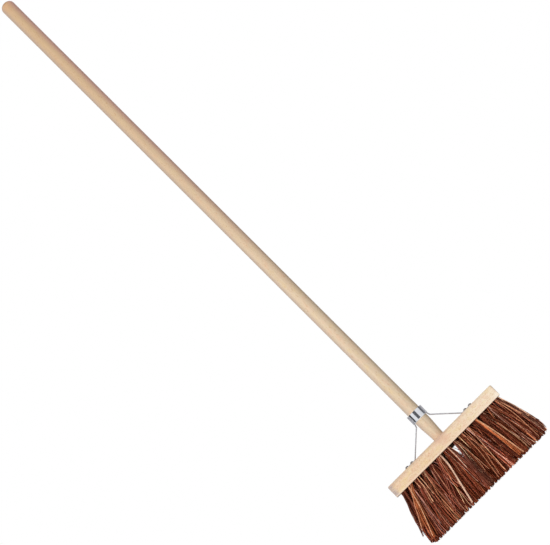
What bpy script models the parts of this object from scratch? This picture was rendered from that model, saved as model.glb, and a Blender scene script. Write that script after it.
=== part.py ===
"""A yard broom: a turned wooden handle driven through a wooden block that is set with stiff tufts
of plant fibre. Two steel wires stay the block to a sheet collar round the handle.

Metres. +Z runs up the handle, +X along the block, and the front faces -Y. The origin lies on the
plane of the bristle tips, under the middle of the block.
"""

import math
import random

import bmesh
import bpy
from mathutils import Matrix, Vector

# Clearance between pieces that touch, and how far a cutter runs past a face
CLEARANCE = 0.0003
CUTTER_PAST = 0.0012

# Block
BLOCK_LENGTH = 0.275
BLOCK_DEPTH = 0.060
BLOCK_HEIGHT = 0.026
BLOCK_ARRIS = 0.0024

# Tufts and their bores
TUFTS_IN_ROW = 14
TUFT_RADIUS = 0.0057
TUFT_SIDES = 10
TUFT_TURN = math.radians(137.5)
BORE_DEPTH = 0.015
END_MARGIN = 0.0127
ROW_SPACING = 0.0185
HANDLE_HOLE_WALL = 0.0011
KNOT_DROP = 0.0022

# Bristles, from the underside of the block down to the tips
BRISTLE_LENGTH = 0.114
LEAN_ALONG = 0.022
LEAN_ACROSS = 0.0085
BEND_DEPTH = 0.038
BEND_SHARE = 0.55
STRAND_ROOT = 0.00105
STRAND_MIDDLE = 0.00150
STRAND_TIP = 0.00135
STRAND_SINK = 0.0011
STRAND_INSET = 0.0002
STRAND_GAP = 0.0003
INNER_STRANDS = 3
OUTER_STRANDS = 7
INNER_RING = 0.40
STRAY = 0.0006
RAGGED = 0.004

# Handle
HANDLE_LENGTH = 1.220
HANDLE_RADIUS = 0.014
DOME_HEIGHT = 0.007
SHOULDER_LENGTH = 0.042
SEAT_RADIUS = 0.0118
END_RADIUS = 0.0108
END_CHAMFER = 0.0015
END_STICKOUT = 0.0075
HANDLE_SIDES = 32
DOME_STEPS = 7
SHOULDER_STEPS = 9

# Collar
COLLAR_RISE = 0.049
COLLAR_HEIGHT = 0.019
SHEET = 0.0008
EAR_WIDTH = math.radians(13.0)
EAR_REACH = math.radians(31.0)
LAP_LENGTH = 0.013
COLLAR_STEP = math.radians(5.0)
EAR_STEP = math.radians(2.5)

# Collar screw, at the back
SCREW_RADIUS = 0.0015
SCREW_DEPTH = 0.009
SCREW_POINT = 0.002
SCREW_HEAD_RADIUS = 0.0032
SCREW_HEAD_HEIGHT = 0.0018
SCREW_HEAD_STEPS = 4
SCREW_SIDES = 16

# Wire stays, whose feet lie half sunk in grooves in the block's top
WIRE_RADIUS = 0.00125
WIRE_TOP_INSET = 0.001
KINK_DROP = 0.0065
KINK_OUT = 0.0022
FOOT_X = 0.0636
STAY_END_X = 0.0885
GROOVE_DEPTH = 0.0012
WIRE_BEND = 0.004
WIRE_BEND_STEPS = 3
WIRE_SIDES = 8

# Staples over the feet of the stays
STAPLE_RADIUS = 0.0009
STAPLE_X = (0.0714, 0.0841)
STAPLE_NAMES = ("inner", "outer")
STAPLE_LEG = 0.008
STAPLE_ARCH_STEPS = 8

# Faces that meet at less than this angle are shaded smooth
SMOOTH_ANGLE = math.radians(45.0)

# Levels
UNDERSIDE = BRISTLE_LENGTH
TOP = UNDERSIDE + BLOCK_HEIGHT
HANDLE_FOOT = UNDERSIDE - END_STICKOUT
HANDLE_HEAD = HANDLE_FOOT + HANDLE_LENGTH
COLLAR_BOTTOM = TOP + COLLAR_RISE
COLLAR_MIDDLE = COLLAR_BOTTOM + COLLAR_HEIGHT / 2
COLLAR_TOP = COLLAR_BOTTOM + COLLAR_HEIGHT
STAY_FOOT = TOP - GROOVE_DEPTH + CLEARANCE + WIRE_RADIUS

# The collar's middle surface, and the wires in its ears
COLLAR_RADIUS = HANDLE_RADIUS + CLEARANCE + SHEET / 2
WIRE_X = HANDLE_RADIUS + CLEARANCE + WIRE_RADIUS
EAR_RADIUS = WIRE_X + WIRE_RADIUS + CLEARANCE + SHEET / 2
LAP_ANGLE = LAP_LENGTH / COLLAR_RADIUS
LAP_LIFT = SHEET + CLEARANCE

# The front and the back row of tufts, and each half of the middle row, which is staggered and
# keeps clear of the handle's hole
BORE_RADIUS = TUFT_RADIUS + CLEARANCE
ROW_HALF = BLOCK_LENGTH / 2 - END_MARGIN
PITCH = 2 * ROW_HALF / (TUFTS_IN_ROW - 1)
MIDDLE_TUFTS = TUFTS_IN_ROW // 2 - 1
MIDDLE_FIRST = SEAT_RADIUS + CLEARANCE + HANDLE_HOLE_WALL + BORE_RADIUS
MIDDLE_PITCH = (ROW_HALF - PITCH / 2 - MIDDLE_FIRST) / (MIDDLE_TUFTS - 1)

SEED = 11


def fresh_scene():
    """Removes every object and makes the part's two collections."""
    for obj in list(bpy.data.objects):
        bpy.data.objects.remove(obj, do_unlink=True)
    collections = []
    for name in ("broom", "broom_cutters"):
        collection = bpy.data.collections.new(name)
        bpy.context.scene.collection.children.link(collection)
        collections.append(collection)
    return collections


def principled(name, colour, roughness, metallic=0.0):
    """A material of an 8-bit sRGB colour."""
    material = bpy.data.materials.new(name)
    material.use_nodes = True
    shader = material.node_tree.nodes["Principled BSDF"]
    linear = [((c / 255 + 0.055) / 1.055) ** 2.4 for c in colour]
    shader.inputs["Base Color"].default_value = (*linear, 1.0)
    shader.inputs["Roughness"].default_value = roughness
    shader.inputs["Metallic"].default_value = metallic
    material.diffuse_color = (*linear, 1.0)
    return material


def place(name, data, material=None):
    """An object of the part, or a cutter if it has no material."""
    obj = bpy.data.objects.new(name, data)
    if material:
        data.materials.append(material)
        PART.objects.link(obj)
    else:
        CUTTERS.objects.link(obj)
        obj.hide_render = True
        obj.display_type = "WIRE"
    return obj


def mesh_of(name, bm, smooth=False):
    bmesh.ops.recalc_face_normals(bm, faces=bm.faces)
    mesh = bpy.data.meshes.new(name)
    bm.to_mesh(mesh)
    bm.free()
    if smooth:
        mesh.shade_smooth()
        mesh.set_sharp_from_angle(angle=SMOOTH_ANGLE)
    return mesh


def add_cylinder(bm, low, high, radius, sides, top_radius=None):
    """A closed cylinder or cone from the point low to the point high."""
    axis = high - low
    rotation = axis.to_track_quat("Z", "Y").to_matrix().to_4x4()
    matrix = Matrix.Translation((low + high) / 2) @ rotation
    bmesh.ops.create_cone(
        bm,
        cap_ends=True,
        segments=sides,
        radius1=radius,
        radius2=radius if top_radius is None else top_radius,
        depth=axis.length,
        matrix=matrix,
    )


def boolean(obj, other, operation):
    modifier = obj.modifiers.new(f"{operation.lower()}_{other.name}", "BOOLEAN")
    modifier.operation = operation
    modifier.solver = "EXACT"
    modifier.object = other


def turned(name, profile, sides, material):
    """A body of revolution about Z, from (radius, z) points that run from its top to its foot."""
    bm = bmesh.new()
    points = [bm.verts.new((radius, 0.0, z)) for radius, z in profile]
    for first, second in zip(points, points[1:]):
        bm.edges.new((first, second))
    mesh = bpy.data.meshes.new(name)
    bm.to_mesh(mesh)
    bm.free()
    obj = place(name, mesh, material)
    turn = obj.modifiers.new("turn", "SCREW")
    turn.steps = turn.render_steps = sides
    turn.use_merge_vertices = True
    turn.merge_threshold = CLEARANCE / 10
    return obj


def rounded_path(corners, radius):
    """The path through the corners, with an arc of the given radius in place of each bend."""
    path = [corners[0]]
    for before, corner, after in zip(corners, corners[1:], corners[2:]):
        back = (before - corner).normalized()
        ahead = (after - corner).normalized()
        half = back.angle(ahead) / 2
        centre = corner + (back + ahead).normalized() * (radius / math.sin(half))
        start = corner + back * (radius / math.tan(half)) - centre
        end = corner + ahead * (radius / math.tan(half)) - centre
        sweep = start.angle(end)
        for k in range(WIRE_BEND_STEPS + 1):
            share = k / WIRE_BEND_STEPS
            a, b = math.sin((1 - share) * sweep), math.sin(share * sweep)
            path.append(centre + (start * a + end * b) / math.sin(sweep))
    path.append(corners[-1])
    return path


def wire(name, path, radius):
    """The curve of a round wire along a path, with closed ends."""
    curve = bpy.data.curves.new(name, "CURVE")
    curve.dimensions = "3D"
    curve.bevel_depth = radius
    curve.bevel_resolution = WIRE_SIDES // 2 - 2
    curve.use_fill_caps = True
    spline = curve.splines.new("POLY")
    spline.points.add(len(path) - 1)
    for point, at in zip(spline.points, path):
        point.co = (*at, 1.0)
    return curve


def smooth_step(share):
    return share * share * (3 - 2 * share)


# The handle

def seat_radius_at(z):
    """The radius of the handle's cone inside the block, which the hole in the block follows."""
    share = (z - HANDLE_FOOT) / (TOP - HANDLE_FOOT)
    return END_RADIUS + (SEAT_RADIUS - END_RADIUS) * share


def make_handle(material):
    profile = []
    for k in range(DOME_STEPS + 1):
        angle = k / DOME_STEPS * math.pi / 2
        z = HANDLE_HEAD - DOME_HEIGHT * (1 - math.cos(angle))
        profile.append((HANDLE_RADIUS * math.sin(angle), z))
    for k in range(SHOULDER_STEPS + 1):
        rise = 1 - k / SHOULDER_STEPS
        radius = SEAT_RADIUS + (HANDLE_RADIUS - SEAT_RADIUS) * smooth_step(rise)
        profile.append((radius, TOP + SHOULDER_LENGTH * rise))
    profile.append((seat_radius_at(HANDLE_FOOT + END_CHAMFER), HANDLE_FOOT + END_CHAMFER))
    profile.append((END_RADIUS - END_CHAMFER, HANDLE_FOOT))
    profile.append((0.0, HANDLE_FOOT))
    handle = turned("handle", profile, HANDLE_SIDES, material)
    boolean(handle, make_screw_hole("pilot_hole", SCREW_DEPTH + CLEARANCE), "DIFFERENCE")


# The block, with its bores

def tuft_places():
    """Each tuft's row, number and place, and the pitch of its row."""
    full = [(k - (TUFTS_IN_ROW - 1) / 2) * PITCH for k in range(TUFTS_IN_ROW)]
    half = [MIDDLE_FIRST + k * MIDDLE_PITCH for k in range(MIDDLE_TUFTS)]
    parted = [-x for x in reversed(half)] + half
    return [
        (row, number, x, y, pitch)
        for row, y, pitch, row_xs in (
            ("front", -ROW_SPACING, PITCH, full),
            ("middle", 0.0, MIDDLE_PITCH, parted),
            ("back", ROW_SPACING, PITCH, full),
        )
        for number, x in enumerate(row_xs, 1)
    ]


def staple_leg_places():
    """Each leg's x and y: two legs to a staple, on both sides of the wire."""
    leg_y = WIRE_RADIUS + CLEARANCE + STAPLE_RADIUS
    return [(side * x, way * leg_y) for side in (-1, 1) for x in STAPLE_X for way in (-1, 1)]


def make_block(places, material):
    bm = bmesh.new()
    size = Matrix.Diagonal((BLOCK_LENGTH, BLOCK_DEPTH, BLOCK_HEIGHT, 1.0))
    middle = Matrix.Translation((0.0, 0.0, (UNDERSIDE + TOP) / 2))
    bmesh.ops.create_cube(bm, size=1.0, matrix=middle @ size)
    block = place("block", mesh_of("block", bm), material)
    arris = block.modifiers.new("arris", "BEVEL")
    arris.width = BLOCK_ARRIS
    arris.segments = 3

    bm = bmesh.new()
    for _, _, x, y, _ in places:
        low = Vector((x, y, UNDERSIDE - CUTTER_PAST))
        high = Vector((x, y, UNDERSIDE + BORE_DEPTH))
        add_cylinder(bm, low, high, BORE_RADIUS, TUFT_SIDES)
    boolean(block, place("tuft_bores", mesh_of("tuft_bores", bm)), "DIFFERENCE")

    bm = bmesh.new()
    low, high = Vector((0, 0, UNDERSIDE - CUTTER_PAST)), Vector((0, 0, TOP + CUTTER_PAST))
    foot, head = (seat_radius_at(point.z) + CLEARANCE for point in (low, high))
    add_cylinder(bm, low, high, foot, HANDLE_SIDES, top_radius=head)
    boolean(block, place("handle_hole", mesh_of("handle_hole", bm)), "DIFFERENCE")

    bm = bmesh.new()
    for x, y in staple_leg_places():
        low = Vector((x, y, TOP - STAPLE_LEG - CLEARANCE))
        high = Vector((x, y, TOP + CUTTER_PAST))
        add_cylinder(bm, low, high, STAPLE_RADIUS + CLEARANCE, WIRE_SIDES)
    boolean(block, place("staple_holes", mesh_of("staple_holes", bm)), "DIFFERENCE")

    for side, word in ((-1, "left"), (1, "right")):
        boolean(block, make_groove(f"groove_{word}", side), "DIFFERENCE")


# The tufts

def strand_starts(turn):
    """The strands' places in a tuft as points of the unit circle: an inner and an outer ring."""
    starts = []
    for count, radius in ((INNER_STRANDS, INNER_RING), (OUTER_STRANDS, 1.0)):
        for k in range(count):
            angle = turn + k / count * math.tau
            starts.append(Vector((radius * math.cos(angle), radius * math.sin(angle))))
    return starts


def tuft_levels(x, y, pitch):
    """A tuft's middle and its half widths, at the root, the bend and the tips. Each tuft fans out
    to fill its own cell, so no strand meets a strand of another tuft."""
    start = UNDERSIDE - KNOT_DROP + STRAND_SINK
    lean = Vector((LEAN_ALONG * x / ROW_HALF, LEAN_ACROSS * y / ROW_SPACING))
    flat_radius = TUFT_RADIUS * math.cos(math.pi / TUFT_SIDES)
    root = Vector((1, 1)) * (flat_radius - STRAND_ROOT - STRAND_INSET)
    cell = Vector((pitch * (1 + LEAN_ALONG / ROW_HALF), ROW_SPACING + LEAN_ACROSS)) / 2
    tip = cell - Vector((1, 1)) * (STRAND_MIDDLE + STRAY + STRAND_GAP)
    middle = Vector((x, y))
    bend = BEND_DEPTH / BRISTLE_LENGTH
    return (
        (start, middle, root, STRAND_ROOT),
        (UNDERSIDE - BEND_DEPTH, middle + lean * bend, root.lerp(tip, BEND_SHARE), STRAND_MIDDLE),
        (0.0, middle + lean, tip, STRAND_TIP),
    )


def add_strand(bm, rings):
    """A three-sided strand through level rings, closed at both ends."""
    loops = []
    for centre, radius, turn in rings:
        corners = [turn + k * math.tau / 3 for k in range(3)]
        loops.append(
            [
                bm.verts.new(centre + Vector((math.cos(a), math.sin(a), 0.0)) * radius)
                for a in corners
            ]
        )
    for upper, lower in zip(loops, loops[1:]):
        for k in range(3):
            after = (k + 1) % 3
            bm.faces.new((upper[k], upper[after], lower[after], lower[k]))
    bm.faces.new(loops[0])
    bm.faces.new(loops[-1])


def make_tuft(name, x, y, pitch, turn, chance, material):
    """A root that fills the bore, and the strands that fan out of it down to the tips."""
    bm = bmesh.new()
    low = Vector((x, y, UNDERSIDE - KNOT_DROP))
    high = Vector((x, y, UNDERSIDE + BORE_DEPTH - CLEARANCE))
    add_cylinder(bm, low, high, TUFT_RADIUS, TUFT_SIDES)
    tuft = place(name, mesh_of(name, bm, smooth=True), material)

    bm = bmesh.new()
    for k, start in enumerate(strand_starts(turn)):
        twist = chance.uniform(0.0, math.tau)
        rings = []
        for level, (z, middle, spread, radius) in enumerate(tuft_levels(x, y, pitch)):
            stray = Vector((chance.uniform(-STRAY, STRAY), chance.uniform(-STRAY, STRAY)))
            stray *= min(level, 1)
            if level == 2 and k % 2:
                z = chance.uniform(0.0, RAGGED)
            flat = middle + Vector((start.x * spread.x, start.y * spread.y)) + stray
            rings.append((Vector((flat.x, flat.y, z)), radius, twist))
        add_strand(bm, rings)
    boolean(tuft, place(f"{name}_strands", mesh_of(f"{name}_strands", bm)), "UNION")


# The collar and its screw

def collar_radius_at(angle):
    """The collar's middle surface, by the angle from the back round to the back again. It swells
    over a wire at each side, and its last stretch rises to lap over its first."""
    radius = COLLAR_RADIUS
    for ear in (math.pi / 2, 3 * math.pi / 2):
        radius += (EAR_RADIUS - COLLAR_RADIUS) * math.exp(-(((angle - ear) / EAR_WIDTH) ** 2))
    lap_start = math.tau - LAP_ANGLE / 2
    share = (angle - lap_start + LAP_ANGLE) / LAP_ANGLE
    return radius + LAP_LIFT * smooth_step(min(max(share, 0.0), 1.0))


def collar_angles():
    """Angles at an even step, finer over the ears."""
    angles = [-LAP_ANGLE / 2]
    end = math.tau + LAP_ANGLE / 2
    while angles[-1] < end - COLLAR_STEP / 2:
        near = min(abs(angles[-1] - ear) for ear in (math.pi / 2, 3 * math.pi / 2))
        angles.append(angles[-1] + (EAR_STEP if near < EAR_REACH else COLLAR_STEP))
    angles[-1] = end
    return angles


def make_collar(material):
    bm = bmesh.new()
    before = None
    for angle in collar_angles():
        radius = collar_radius_at(angle)
        x, y = -radius * math.sin(angle), radius * math.cos(angle)
        pair = [bm.verts.new((x, y, z)) for z in (COLLAR_BOTTOM, COLLAR_TOP)]
        if before:
            bm.faces.new((before[0], pair[0], pair[1], before[1]))
        before = pair
    collar = place("collar", mesh_of("collar", bm, smooth=True), material)
    sheet = collar.modifiers.new("sheet", "SOLIDIFY")
    sheet.thickness = SHEET
    sheet.offset = 0.0
    boolean(collar, make_screw_hole("collar_holes", SCREW_DEPTH), "DIFFERENCE")


def screw_seat_y():
    return COLLAR_RADIUS + LAP_LIFT + SHEET / 2 + CLEARANCE


def make_screw_hole(name, depth):
    """A cutter along the collar screw's shank, from outside the collar to depth in the handle."""
    bm = bmesh.new()
    inner = Vector((0.0, HANDLE_RADIUS - depth, COLLAR_MIDDLE))
    outer = Vector((0.0, screw_seat_y() + SHEET, COLLAR_MIDDLE))
    add_cylinder(bm, inner, outer, SCREW_RADIUS + CLEARANCE, SCREW_SIDES)
    return place(name, mesh_of(name, bm))


def make_collar_screw(material):
    shank = screw_seat_y() - HANDLE_RADIUS + SCREW_DEPTH
    profile = []
    for k in range(SCREW_HEAD_STEPS + 1):
        angle = k / SCREW_HEAD_STEPS * math.pi / 2
        profile.append(
            (SCREW_HEAD_RADIUS * math.sin(angle), SCREW_HEAD_HEIGHT * math.cos(angle))
        )
    profile += [
        (SCREW_RADIUS, 0.0),
        (SCREW_RADIUS, SCREW_POINT - shank),
        (0.0, -shank),
    ]
    screw = turned("collar_screw", profile, SCREW_SIDES, material)
    screw.rotation_euler = (-math.pi / 2, 0.0, 0.0)
    screw.location = (0.0, screw_seat_y(), COLLAR_MIDDLE)


# The stays and their staples

def stay_path(side):
    """From the collar's ear, out past a kink, down to the block and along its top."""
    corners = [
        Vector((side * x, 0.0, z))
        for x, z in (
            (WIRE_X, COLLAR_TOP - WIRE_TOP_INSET),
            (WIRE_X, COLLAR_BOTTOM + WIRE_TOP_INSET),
            (WIRE_X + KINK_OUT, COLLAR_BOTTOM - KINK_DROP),
            (FOOT_X, STAY_FOOT),
            (STAY_END_X, STAY_FOOT),
        )
    ]
    return rounded_path(corners, WIRE_BEND)


def make_stay(name, side, material):
    place(name, wire(name, stay_path(side), WIRE_RADIUS), material)


def make_groove(name, side):
    """A cutter that follows a stay, and so leaves the bed of its foot in the block."""
    path = stay_path(side)
    path[-1] += Vector((side * CLEARANCE, 0.0, 0.0))
    follower = bpy.data.objects.new(name, wire(name, path, WIRE_RADIUS + CLEARANCE))
    mesh = bpy.data.meshes.new_from_object(follower)
    bpy.data.objects.remove(follower)
    return place(name, mesh)


def make_staple(name, x, material):
    """A U of wire that straddles the foot of a stay, with its legs down in the block."""
    arch = WIRE_RADIUS + CLEARANCE + STAPLE_RADIUS
    foot = TOP - STAPLE_LEG
    path = [Vector((x, -arch, foot))]
    for k in range(STAPLE_ARCH_STEPS + 1):
        angle = math.pi * (1 - k / STAPLE_ARCH_STEPS)
        path.append(Vector((x, arch * math.cos(angle), STAY_FOOT + arch * math.sin(angle))))
    path.append(Vector((x, arch, foot)))
    place(name, wire(name, path, STAPLE_RADIUS), material)


PART, CUTTERS = fresh_scene()


def main():
    handle_wood = principled("handle_wood", (212, 178, 138), 0.55)
    block_wood = principled("block_wood", (236, 209, 176), 0.6)
    bristle = principled("bristle_fibre", (112, 62, 42), 0.7)
    zinc = principled("zinc_sheet", (205, 206, 214), 0.25, 1.0)
    steel = principled("steel_wire", (150, 150, 156), 0.4, 1.0)

    make_handle(handle_wood)
    places = tuft_places()
    make_block(places, block_wood)
    chance = random.Random(SEED)
    for k, (row, number, x, y, pitch) in enumerate(places):
        name = f"tuft_{row}_{number:02d}"
        make_tuft(name, x, y, pitch, k * TUFT_TURN, chance, bristle)
    make_collar(zinc)
    make_collar_screw(steel)
    for side, word in ((-1, "left"), (1, "right")):
        make_stay(f"stay_{word}", side, steel)
        for which, x in zip(STAPLE_NAMES, STAPLE_X):
            make_staple(f"staple_{word}_{which}", side * x, steel)


main()
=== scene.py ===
"""Looks of the yard broom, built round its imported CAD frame.

Metres, in the frame's own axes: +Z runs up the handle, +X along the block, and the front faces -Y.
"""

import math
import random

import bmesh
import bpy
import numpy as np
from mathutils import Matrix, Vector, noise


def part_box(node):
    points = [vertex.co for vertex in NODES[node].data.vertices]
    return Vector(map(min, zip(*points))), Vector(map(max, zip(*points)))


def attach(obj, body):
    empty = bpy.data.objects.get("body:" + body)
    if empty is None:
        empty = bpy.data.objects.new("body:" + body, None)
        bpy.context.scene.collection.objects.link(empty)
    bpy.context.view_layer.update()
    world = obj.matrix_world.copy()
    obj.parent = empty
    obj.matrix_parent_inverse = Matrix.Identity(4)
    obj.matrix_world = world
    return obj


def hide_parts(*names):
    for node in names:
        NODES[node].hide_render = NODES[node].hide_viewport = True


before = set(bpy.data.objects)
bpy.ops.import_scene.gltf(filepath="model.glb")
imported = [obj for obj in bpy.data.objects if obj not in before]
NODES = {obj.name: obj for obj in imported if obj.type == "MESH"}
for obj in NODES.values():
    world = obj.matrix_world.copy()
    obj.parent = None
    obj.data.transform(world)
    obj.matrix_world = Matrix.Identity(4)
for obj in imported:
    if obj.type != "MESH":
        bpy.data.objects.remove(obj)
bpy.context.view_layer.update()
TUFTS = sorted(name for name in NODES if name.startswith("tuft_"))

# The camera, fitted to the photograph: it looks up a little from just above the floor, rolled so
# that the handle runs to the upper left
CAMERA_LENS = 206.7
CAMERA_SENSOR = 36.0
CAMERA_AIM = Vector((0.0011, 0.0, 0.5832))
CAMERA_DISTANCE = 6.05
CAMERA_YAW, CAMERA_RISE, CAMERA_ROLL = np.radians((1.61, 5.49, -45.08))
# Where it stands along X
CAMERA_SIDE = -0.17

# Lights
WHITE = (1.0, 1.0, 1.0, 1.0)
AMBIENT = 0.42
KEY_STRENGTH = 2.0
KEY_ANGLE, KEY_AZIMUTH, KEY_HEIGHT = np.radians((35.0, -27.0, 14.0))
KEY_COLOUR = (1.0, 0.99, 0.975)
FLOOR_HALF = 6.0
FLOOR_GLOW = 0.55
FLOOR_GREY = (0.8, 0.8, 0.8, 1.0)

# Dark cards round the collar, which only its reflections show: the azimuths that each one spans
# and how bright it is
CARDS = (
    (-119.5, -80.0, 0.06),
    (-29.0, 16.0, 0.13),
    (91.0, 127.0, 0.15),
    (127.0, 178.0, 0.30),
)
CARD_RADIUS = 1.5
CARD_LEVELS = (-0.5, 1.2)
CARD_STEPS = 8
CARD_BLUE = 1.06

# Sizes that the frame gives
BLOCK_LOW, BLOCK_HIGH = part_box("block")
HANDLE_LOW, HANDLE_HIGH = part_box("handle")
COLLAR_LOW, COLLAR_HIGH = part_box("collar")
HANDLE_RADIUS = (HANDLE_HIGH.x - HANDLE_LOW.x) / 2
UNDERSIDE, TOP = BLOCK_LOW.z, BLOCK_HIGH.z
TIP_BOXES = [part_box(name) for name in TUFTS]
FAR_LEFT, NEAR_SIDE = (min(low[k] for low, _ in TIP_BOXES) for k in (0, 1))
FAR_RIGHT, FAR_SIDE = (max(high[k] for _, high in TIP_BOXES) for k in (0, 1))

# Sizes that the CAD names, and the handle's dome, which is higher here
DOME_HEIGHT = 0.0115
CLEARANCE = 0.0003
BLOCK_ARRIS = 0.0024
BORE_DEPTH = 0.015
SHOULDER_LENGTH = 0.042
SEAT_RADIUS = 0.0118
END_RADIUS = 0.0108
END_CHAMFER = 0.0015
SHEET = 0.0008
SHEET_RADIUS = HANDLE_RADIUS + CLEARANCE + SHEET / 2
EAR_WIDTH = math.radians(9.0)
LAP_LENGTH = 0.013
WIRE_TOP_INSET = 0.001
KINK_DROP = 0.0065
KINK_OUT = 0.0022
FOOT_X = 0.0636
WIRE_BEND = 0.0026
SCREW_RADIUS = 0.0015
SCREW_HEAD = 0.0018
SCREW_POINT = 0.002

# How the replaced shapes are made: how fine they are, and how worn
HANDLE_SIDES = 56
HANDLE_STEP = 0.008
DOME_RINGS, SHOULDER_RINGS, SEAT_RINGS = 12, 15, 6
BLOCK_STEP = 0.0028
BORE_SIDES = 24
WIRE_SIDES = 14
BEND_STEPS, ARCH_STEPS = 8, 17
SCREW_SIDES = 32
COLLAR_STEPS = 220
COLLAR_ROWS = 11
OVERCUT = 0.001
END_EASE = 0.2
TURNING_START = 0.03
TURNING_DEPTH = 0.00022
WEAR = 0.0009
WEAR_REACH = 0.006
SHARP_FOOT = 0.45
SLOT_WIDTH = 0.0008
DENT = 0.00005
SCUFF_X = (0.0132, 0.0142)
UPPER_HANDLE = (0.4, 1.1)
HOLE_PATCH_REACH = (0.018, 0.021)
STAPLE_SKEW = {
    "staple_left_inner": 44.0,
    "staple_left_outer": 49.0,
    "staple_right_inner": -46.0,
    "staple_right_outer": -50.0,
}

# Fibres: how many, how thick and how they run
FIBRES_IN_TUFT = 96
LOCKS_IN_TUFT = 11
FIBRE_SIDES = 5
FIBRE_RINGS = 15
FIBRE_RADIUS = (0.00036, 0.00098)
FIBRE_TAPER = (1.08, 0.80)
FIBRE_UNEVEN = (0.86, 1.14)
FIBRE_FLAT = (0.55, 1.0)
FIBRE_TWIST = 2.5
FIBRE_START = 0.005
ROOT_INSET = 0.0006
GOLDEN_ANGLE = math.radians(137.5)
FAN_POWER = 1.40
LOCK_DRAW = 0.16
LOCK_WANDER = 0.0042
OWN_WANDER = 0.0052
LONER_SHARE = 0.28
LONER_WANDER = 0.0110
LONER_SLACK = 1.6
LONER_THIN = (0.5, 1.1)
SHORT_SHARE = 0.06
SHORT_RISE = (0.012, 0.050)
LOCK_LEVEL = 0.0016
OWN_LEVEL = 0.0008
TOOTH_LEVEL = 0.0065
TOOTH_PITCH = 0.0036
TOOTH_CLEAR = 0.08
LEAST_LEVEL = 0.0001
CORNER_RISE = 0.0100
CORNER_REACH = 0.0130
CORNER_SPREAD = (0.5, 1.7)
BOW = 0.0016
WIGGLE = 0.0005
SWAYS = (1.7, 3.1)
EDGE_SLACK = 0.012
RIGHT_SLACK = 0.004
EDGE_MARGIN = 0.0011
EDGE_ROOM = 1.2
FAN_ROOT = (-0.1300, 0.1318)
FAN_SLACK = (0.06, 0.12)
FRONT_DRAW = 0.0016
LEFT_DRAW = 0.0035
# The knot at a tuft's root: shares of the root's radius, and heights over the block's underside
KNOT = ((0.2, -0.0006), (0.7, -0.0003), (0.97, 0.001), (0.97, BORE_DEPTH - 0.0005))

# The fibres' colours: how a tuft's, a fibre's and a massed strand's own tone may differ
TUFT_TONE, TUFT_GREEN, TUFT_BLUE = (0.80, 1.22), (0.92, 1.08), (0.90, 1.15)
OWN_TONE, OWN_BLUE = (0.85, 1.15), (0.80, 1.18)
OWN_TONE_SHARE = 0.36
MASS_TONE = (0.45, 1.7)
SHADED_ROOT = (0.86, 1.06)
PITCH = (58, 30, 20)
TONE_KNOTS = 11
TONE_SPAN = (0.50, 1.50)
STEADY_SPAN = (0.80, 1.25)
# Darker stretches are redder, by a power of the value for each colour
TONE_POWERS = np.array((0.90, 1.08, 1.22))
# The row is darkest near its left end and lighter from the middle to the right: factors at five
# places along it, for all of a tuft and for its tips
TONE_PLACES = (-0.128, -0.100, -0.030, 0.030, 0.100)
TONE_FACTORS = (1.05, 0.89, 1.04, 1.15, 1.07)
TIP_FACTORS = (1.00, 0.80, 1.05, 1.30, 1.30)
# The fibres are greyer at their roots and redder at their tips
ROOT_TINT = np.array((1.00, 1.08, 1.18))
TIP_TINT = np.array((1.00, 0.91, 0.88))
# What share of the fibres has which tone
TONES = (
    (0.27, (60, 18, 5)),
    (0.13, (95, 43, 31)),
    (0.20, (130, 60, 38)),
    (0.15, (168, 84, 58)),
    (0.09, (212, 118, 85)),
    (0.09, (242, 156, 118)),
    (0.07, (255, 200, 164)),
)

SEED = 7


def linear(colour):
    """The linear values of an 8-bit sRGB colour."""
    shares = [c / 255 for c in colour]
    return [s / 12.92 if s <= 0.04045 else ((s + 0.055) / 1.055) ** 2.4 for s in shares]


def smooth_step(share):
    return share * share * (3 - 2 * share)


def new_object(name, data):
    obj = bpy.data.objects.new(name, data)
    bpy.context.scene.collection.objects.link(obj)
    return obj


# Camera, light and floor


def direction(azimuth, height):
    """A unit vector: along +Y, turned towards +X by the azimuth and then raised."""
    flat = math.cos(height)
    return Vector((math.sin(azimuth) * flat, math.cos(azimuth) * flat, math.sin(height)))


def make_camera():
    forward = direction(CAMERA_YAW, CAMERA_RISE)
    level = forward.cross(Vector((0, 0, 1))).normalized()
    upright = Matrix((level, level.cross(forward), -forward)).transposed()
    rotation = upright @ Matrix.Rotation(CAMERA_ROLL, 3, "Z")
    data = bpy.data.cameras.new("camera")
    data.lens = CAMERA_LENS
    data.sensor_width = CAMERA_SENSOR
    data.clip_start, data.clip_end = 0.1, 50.0
    camera = new_object("camera", data)
    stand = CAMERA_AIM - forward * CAMERA_DISTANCE
    camera.matrix_world = Matrix.Translation(stand) @ rotation.to_4x4()
    bpy.context.scene.camera = camera


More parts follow.
